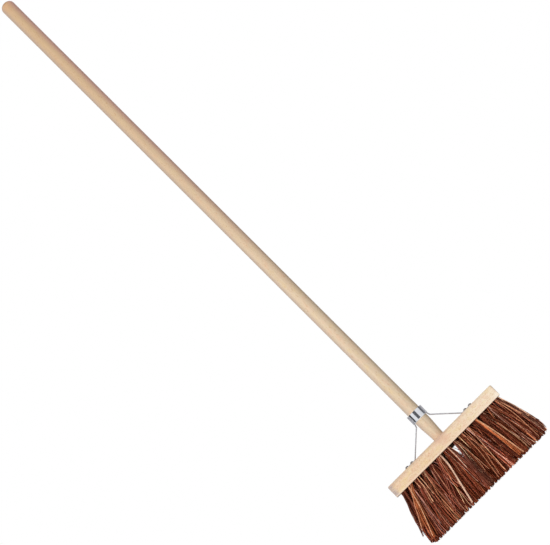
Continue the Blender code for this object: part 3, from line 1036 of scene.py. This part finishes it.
def fibre_colours(base, chance, span=TONE_SPAN, root=ROOT_TINT, tip=TIP_TINT):
    """The colour at each ring: lighter stretches, darker and redder ones, and a shaded root."""
    knots = [chance.uniform(*span) for _ in range(TONE_KNOTS)]
    value = np.interp(DOWN, np.linspace(0, 1, TONE_KNOTS), knots)
    value *= np.interp(DOWN, (0, 1), SHADED_ROOT)
    tint = root + (tip - root) * DOWN[:, None]
    return base * value[:, None] ** TONE_POWERS * tint


def add_fibre(tubes, path, radius, colours, chance):
    """One fibre: a slightly flat strand that thins and twists on its way down."""
    radii = radius * np.interp(DOWN, (0, 1), FIBRE_TAPER)
    radii *= [chance.uniform(*FIBRE_UNEVEN) for _ in DOWN]
    flat, turn = chance.uniform(*FIBRE_FLAT), chance.uniform(0, math.tau)
    angles = np.arange(FIBRE_SIDES) / FIBRE_SIDES * math.tau
    oval = np.stack([np.cos(angles), flat * np.sin(angles)], -1) * radii[:, None, None]
    twist = turn + DOWN * chance.uniform(-FIBRE_TWIST, FIBRE_TWIST)
    cos, sin = np.cos(twist)[:, None], np.sin(twist)[:, None]
    x = oval[..., 0] * cos - oval[..., 1] * sin
    y = oval[..., 0] * sin + oval[..., 1] * cos
    rings = path[:, None] + np.stack([x, y, np.zeros_like(x)], -1)
    tubes.add(rings[::-1], colours[::-1])


def fibre_path(start, end, tip_z, chance, slack=1.0):
    flat = start + np.outer(fan_at(DOWN), end - start)
    flat += np.outer(np.sin(DOWN * math.pi), gauss_pair(chance, BOW * slack))
    for waves in SWAYS:
        sway = gauss_pair(chance, WIGGLE * slack) * SWAYS[0] / waves
        phase = chance.uniform(0, math.tau)
        flat += np.outer(np.sin(DOWN * waves * math.tau + phase) * DOWN, sway)
    top = UNDERSIDE + FIBRE_START
    return np.column_stack([flat, top + (tip_z - top) * DOWN])


def keep_in_outline(path, radius):
    edge = radius * EDGE_ROOM
    path[:, 0] = np.clip(path[:, 0], FAR_LEFT + edge, FAR_RIGHT - edge)
    path[:, 1] = np.clip(path[:, 1], NEAR_SIDE + edge, FAR_SIDE - edge)
    return path


def keep_in_fan(path):
    """Holds a fibre between the two straight sides of the whole fan."""
    share = np.clip((UNDERSIDE - path[:, 2]) / UNDERSIDE, 0.0, 1.0)
    sides = [
        root + (far - root) * (fan_at(share) + slack * share)
        for root, far, slack in zip(FAN_ROOT, (FAR_LEFT, FAR_RIGHT), FAN_SLACK)
    ]
    path[:, 0] = np.clip(path[:, 0], *sides)
    return path


# How far to the right some tufts stand just below the block, at their left and at their right
# side: it leaves the small window under the handle's end, between the two middle tufts, draws in
# the end tufts at the left and spreads those at the right
SHIFTS = {
    "tuft_front_01": (0.0058, 0.0036),
    "tuft_middle_01": (0.0050, 0.0030),
    "tuft_back_01": (0.0058, 0.0036),
    "tuft_front_02": (0.0025, 0.0010),
    "tuft_front_07": (0.0005, 0.0062),
    "tuft_back_07": (0.0005, 0.0058),
    "tuft_front_08": (0.0114, 0.0040),
    "tuft_back_08": (0.0118, 0.0040),
    "tuft_front_14": (0.0008, 0.0030),
    "tuft_back_14": (0.0008, 0.0030),
}
SHIFT_SPAN = (0.0, 0.05, 0.25, 0.45, 1.0)
SHIFT_SHARE = (0.45, 1.0, 1.1, 0.8, 0.0)

# Strands that lie side by side are closer together at the root. In such a number they make a mass:
# it stays a little behind the single strands, and its strands differ and wander more
BUNDLED = (0.55, 1.0)
MASS_COUNT = 4
STRAND_FRONT = 0.90
MASS_FRONT = 0.66
MASS_WANDER = 0.0011

# How much further to the left the loose fibres of some tufts lean
LONER_LEANS = {
    "tuft_front_02": -0.010,
    "tuft_front_03": -0.013,
    "tuft_front_04": -0.011,
    "tuft_front_05": -0.009,
    "tuft_front_06": -0.006,
}

# Strands that stand out at the front: the tuft's number, colour, radius, and the way down as pairs
# of x and the depth below the block. Where several lie side by side, how many they are and how far
# apart follow. In millimetres
MM = 0.001
ORANGE, GOLD, STRAW, TAN = (244, 138, 84), (255, 190, 146), (255, 214, 186), (240, 166, 126)
ROSE, DARK, DIM = (196, 108, 84), (100, 57, 46), (138, 79, 62)
AMBER = (174, 97, 58)
STANDOUTS = (
    (11, ORANGE, 0.85, ((70.6, 0), (78.5, 47), (86.8, 106)), 2, 2.2),
    (11, ORANGE, 0.7, ((70, 0), (74.5, 30), (82.6, 107))),
    (11, GOLD, 0.85, ((72.7, 0), (76.5, 17), (91.9, 108)), 2, 1.4),
    (11, GOLD, 0.85, ((71.3, 0), (74.8, 17), (80.6, 56))),
    (6, STRAW, 1.25, ((-23.3, 0), (-24.5, 21), (-28.1, 40), (-32.6, 58), (-44, 107)), 2, 1.5),
    (7, ROSE, 0.6, ((-4.6, 0), (-5, 40), (-5.5, 106))),
    (7, STRAW, 0.95, ((-3.4, 0), (-3, 20), (-4.7, 54))),
    (7, GOLD, 0.85, ((-4.4, 0), (-3.9, 12), (-4.2, 26))),
    (2, TAN, 1, ((-101.5, 0), (-119.4, 25), (-137.3, 58), (-148, 78))),
    (2, AMBER, 0.8, ((-100, 0), (-117, 27), (-139.5, 75)), 4, 1.9),
    (2, AMBER, 0.85, ((-105, 0), (-120.5, 40), (-140, 103)), 6, 2),
    (2, GOLD, 1.25, ((-108, 0), (-120, 45), (-141.2, 98))),
    (3, GOLD, 1.05, ((-85, 0), (-87.2, 20), (-95, 54))),
    (3, GOLD, 0.95, ((-80, 0), (-81.2, 20), (-84.2, 44))),
    (3, GOLD, 0.7, ((-92.5, 0), (-94.5, 35), (-99, 54))),
    (4, ROSE, 0.8, ((-64.8, 0), (-65.5, 30), (-69, 100))),
    (5, TAN, 0.6, ((-48, 0), (-52.5, 20), (-64, 105))),
    (5, ROSE, 0.55, ((-40, 0), (-41.8, 36), (-66, 46), (-81.2, 53))),
    (6, ROSE, 0.65, ((-31, 0), (-48.1, 53), (-64, 92))),
    (6, TAN, 0.55, ((-30, 0), (-33, 20), (-44, 58))),
    (6, ROSE, 0.7, ((-32.5, 0), (-50, 43), (-82, 99)), 2, 4.5),
    (10, GOLD, 0.85, ((52, 0), (50, 21), (43.6, 107))),
    (8, TAN, 0.7, ((14, 0), (19, 30), (23.1, 85))),
    (9, TAN, 0.6, ((35.5, 0), (34.5, 40), (25, 108))),
    (9, TAN, 0.6, ((39.5, 0), (40.9, 47), (30.4, 104))),
    (14, TAN, 0.85, ((122.5, 0), (129.2, 30), (133.4, 108))),
    (14, TAN, 0.65, ((124.8, 0), (133, 28), (140, 54))),
    (13, ROSE, 0.6, ((116.5, 0), (121.5, 50), (126.5, 106))),
    (12, DIM, 0.75, ((104.5, 0), (111, 50), (114, 108)), 2, 1.6),
    (1, DARK, 0.95, ((-125, 0), (-146, 63), (-154.8, 87)), 2, 1.6),
    (1, DIM, 0.85, ((-119, 0), (-126.2, 30), (-133, 55)), 2, 1.9),
    (14, DARK, 0.8, ((127.5, 0), (145, 58), (155.4, 86))),
    (14, DARK, 0.95, ((127.5, 0), (145.5, 62), (153.5, 104)), 2, 2.4),
    (14, GOLD, 0.7, ((127, 0), (142, 54), (153, 80))),
    (7, DARK, 0.7, ((-2.2, 0), (-2.2, 7), (-0.9, 17), (3.2, 28), (11, 108)), 7, 1.1),
    (7, DIM, 0.62, ((-4, 0), (1.8, 38), (4, 109)), 6, 1.2),
    (8, DIM, 0.62, ((12.8, 0), (11.7, 7), (11.2, 16), (10.3, 23), (-1, 108)), 6, 1.1),
)


def curve_through(places, values, at):
    """A smooth curve through values at places, read at other places."""
    slopes = np.gradient(values, places)
    k = np.clip(np.searchsorted(places, at) - 1, 0, len(places) - 2)
    gap = places[k + 1] - places[k]
    u = (at - places[k]) / gap
    ends = values[k] * (1 + 2 * u) * (1 - u) ** 2 + values[k + 1] * u**2 * (3 - 2 * u)
    return ends + gap * (slopes[k] * u * (1 - u) ** 2 - slopes[k + 1] * u**2 * (1 - u))


def standout_path(node, way, beside, forward):
    """A path through chosen points, just in front of the tuft's other fibres."""
    middle, radius = tuft_root(node)
    x_at, depth = way.T
    down = -FIBRE_START + (depth[-1] + FIBRE_START) * DOWN
    x = curve_through(depth, x_at, np.maximum(down, 0.0))
    x += beside * np.interp(DOWN, (0, 1), BUNDLED)
    front, tip = middle[1] - radius * forward, NEAR_SIDE + EDGE_MARGIN
    y = front + (tip - front) * (1 - (1 - np.clip(down / UNDERSIDE, 0.0, 1.0)) ** 2)
    return np.stack([x, y, UNDERSIDE - down], -1)


def add_standouts(tubes, node, chance):
    for number, tone, thick, way, *several in STANDOUTS:
        if node != f"tuft_front_{number:02}":
            continue
        thick, way, tone = thick * MM, np.array(way) * MM, np.array(linear(tone))
        count, pitch = several or (1, 0)
        for k in range(count):
            beside = (k - (count - 1) / 2) * pitch * MM
            if count < MASS_COUNT:
                path = standout_path(node, way, beside, STRAND_FRONT)
                colours = fibre_colours(tone, chance, STEADY_SPAN, 1.0, 1.0)
            else:
                path = standout_path(node, way, beside, MASS_FRONT)
                path[:, 0] += chance.gauss(0, MASS_WANDER) * DOWN
                path[:, 1] += chance.uniform(0, MASS_WANDER)
                colours = fibre_colours(tone * chance.uniform(*MASS_TONE), chance)
            add_fibre(tubes, keep_in_outline(path, thick), thick, colours, chance)


def sunflower(number, count, turn):
    """The place of one of many evenly spread points in a circle, turned by an angle."""
    angle = number * GOLDEN_ANGLE + turn
    return np.array([math.cos(angle), math.sin(angle)]) * math.sqrt((number + 0.5) / count)


def make_tuft(node, number, material):
    chance = random.Random(SEED * 1000 + number)
    middle, radius = tuft_root(node)
    low, high = tip_box(node)
    centre, half = (low + high) / 2, (high - low) / 2
    bias = np.array([1.0, chance.uniform(*TUFT_GREEN), chance.uniform(*TUFT_BLUE)])
    bias *= chance.uniform(*TUFT_TONE) * np.interp(middle[0], TONE_PLACES, TONE_FACTORS)
    tip_tint = TIP_TINT * np.interp(middle[0], TONE_PLACES, TIP_FACTORS)
    tubes = Tubes()

    locks = []
    for k in range(LOCKS_IN_TUFT):
        spot = sunflower(k, LOCKS_IN_TUFT, chance.uniform(0, 1.0))
        lean = gauss_pair(chance, LOCK_WANDER)
        locks.append((spot, lean, pick_tone(chance), LOCK_LEVEL * chance.random()))
    for k in range(FIBRES_IN_TUFT):
        spot = sunflower(k, FIBRES_IN_TUFT, chance.uniform(-0.2, 0.2))
        start = middle + spot * (radius - ROOT_INSET)
        lock_spot, lean, tone, level = min(locks, key=lambda lock: np.hypot(*(lock[0] - spot)))
        loner = chance.random() < LONER_SHARE
        if loner:
            end = centre + spot * half + gauss_pair(chance, LONER_WANDER)
            end[0] += LONER_LEANS.get(node, 0.0)
        else:
            drawn = (1 - LOCK_DRAW) * spot + LOCK_DRAW * lock_spot
            end = centre + drawn * half + lean + gauss_pair(chance, OWN_WANDER)
        end = held_in(end, chance)
        if loner or chance.random() < OWN_TONE_SHARE:
            tone = pick_tone(chance)
        inside = min(end[0] - FAR_LEFT - LEFT_DRAW, FAR_RIGHT - end[0])
        corner = max(1 - inside / CORNER_REACH, 0.0) ** 2
        tip_z = LEAST_LEVEL + level + abs(chance.gauss(0, OWN_LEVEL)) + tooth_at(end)
        tip_z += CORNER_RISE * corner * chance.uniform(*CORNER_SPREAD)
        if chance.random() < SHORT_SHARE:
            tip_z += chance.uniform(*SHORT_RISE)
        path = fibre_path(start, end, tip_z, chance, LONER_SLACK if loner else 1.0)
        down = (UNDERSIDE - path[:, 2]) / UNDERSIDE
        shift = np.interp(spot[0], (-1, 1), SHIFTS.get(node, (0, 0)))
        path[:, 0] += shift * np.interp(down, SHIFT_SPAN, SHIFT_SHARE)
        held = path[:, 2] > UNDERSIDE
        room = (radius - ROOT_INSET) * math.sqrt(max(1 - spot[1] ** 2, 0.0))
        path[held, 0] = np.clip(path[held, 0], middle[0] - room, middle[0] + room)
        own = chance.uniform(*OWN_TONE) * np.array([1.0, 1.0, chance.uniform(*OWN_BLUE)])
        colours = fibre_colours(tone * bias * own, chance, tip=tip_tint)
        thin, thick = FIBRE_RADIUS
        thick = thin + (thick - thin) * chance.random() ** 2
        if loner:
            thick *= chance.uniform(*LONER_THIN)
        add_fibre(tubes, keep_in_outline(keep_in_fan(path), thick), thick, colours, chance)

    add_standouts(tubes, node, chance)
    knot = [(radius * share, UNDERSIDE + rise) for share, rise in KNOT]
    rings = turned_rings(knot, BORE_SIDES) + (*middle, 0.0)
    tubes.add(rings, np.tile(linear(PITCH), (len(knot), 1)))
    place(f"{node}_fibres", tubes.mesh(f"{node}_fibres"), material, "bristle_fibre", node)


make_camera()
make_world()
make_key()
make_floor()
make_cards()

bpy.context.scene.view_settings.view_transform = "Standard"

zinc = metal("zinc", (227, 229, 233), (210, 212, 217), (0.10, 0.18), (120, 120, 60), 0.015, True)
steel = metal("steel", (214, 213, 218), (188, 187, 192), (0.42, 0.56), (300, 300, 80), 0.1)
rust = metal("dull_steel", (140, 124, 116), (98, 82, 74), (0.50, 0.66), (500, 500, 300), 0.15)

make_handle(handle_wood())
make_block(block_wood())
make_collar(zinc)
make_screw(steel)
for name in NODES:
    if name.startswith("stay_"):
        make_stay(name, steel)
    elif name.startswith("staple_"):
        make_staple(name, rust)
fibre = fibre_material()
for number, name in enumerate(TUFTS):
    make_tuft(name, number, fibre)
